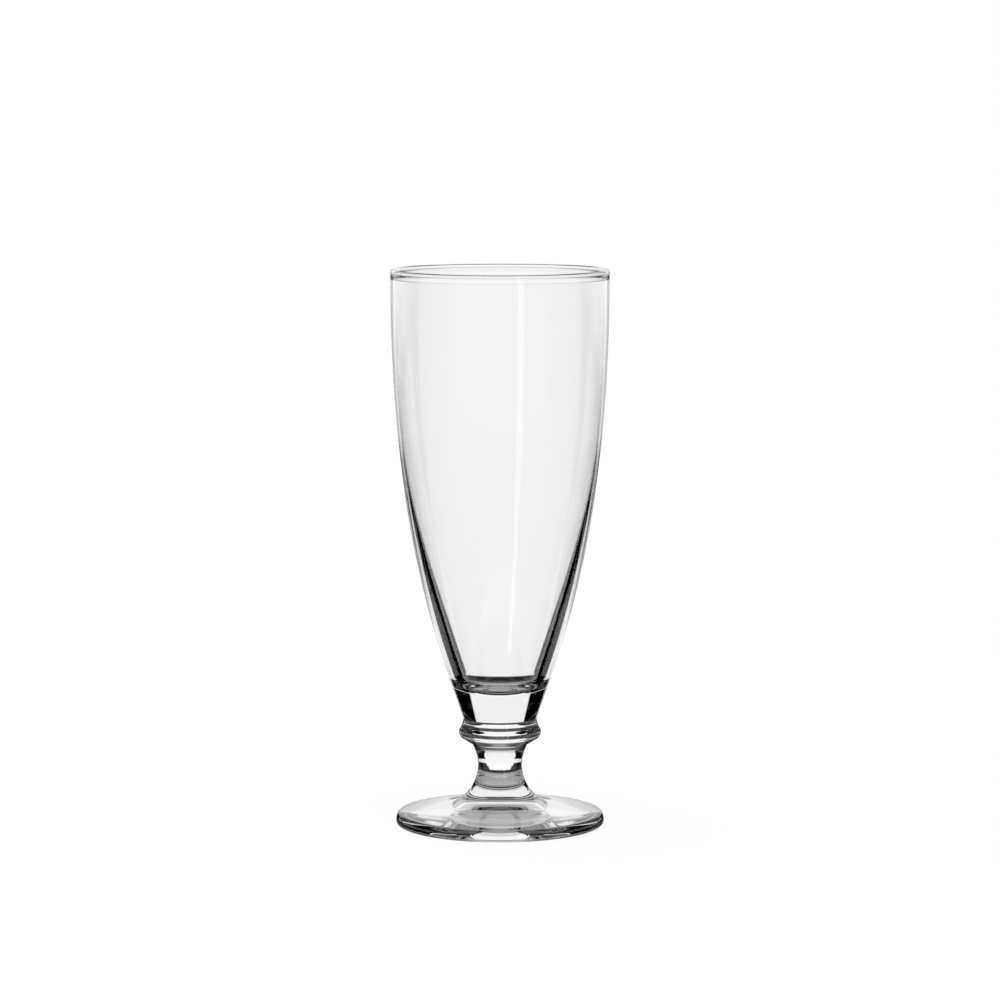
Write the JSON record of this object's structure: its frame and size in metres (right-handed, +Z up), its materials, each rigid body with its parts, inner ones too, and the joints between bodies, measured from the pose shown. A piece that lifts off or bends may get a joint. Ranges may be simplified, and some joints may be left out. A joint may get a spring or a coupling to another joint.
{
  "type": "pilsner glass",
  "caption": "Clear footed beer glass: tall slender flared bowl with a heavy floor, on a short waisted stem with a collar and a round foot.",
  "frame": {"origin": "centre of the foot on the table surface", "axes": "+Z up the axis of the glass, from the foot to the rim; X and Y are alike, because every piece is round"},
  "size_m": [0.0754, 0.0754, 0.192],
  "materials": {
    "clear_glass": "clear, polished, with the faintest cool grey cast where the glass is thick"
  },
  "bodies": {
    "root": {"foot": "clear_glass", "stem": "clear_glass", "collar": "clear_glass", "stem_head": "clear_glass", "bowl": "clear_glass"}
  },
  "joints": []
}
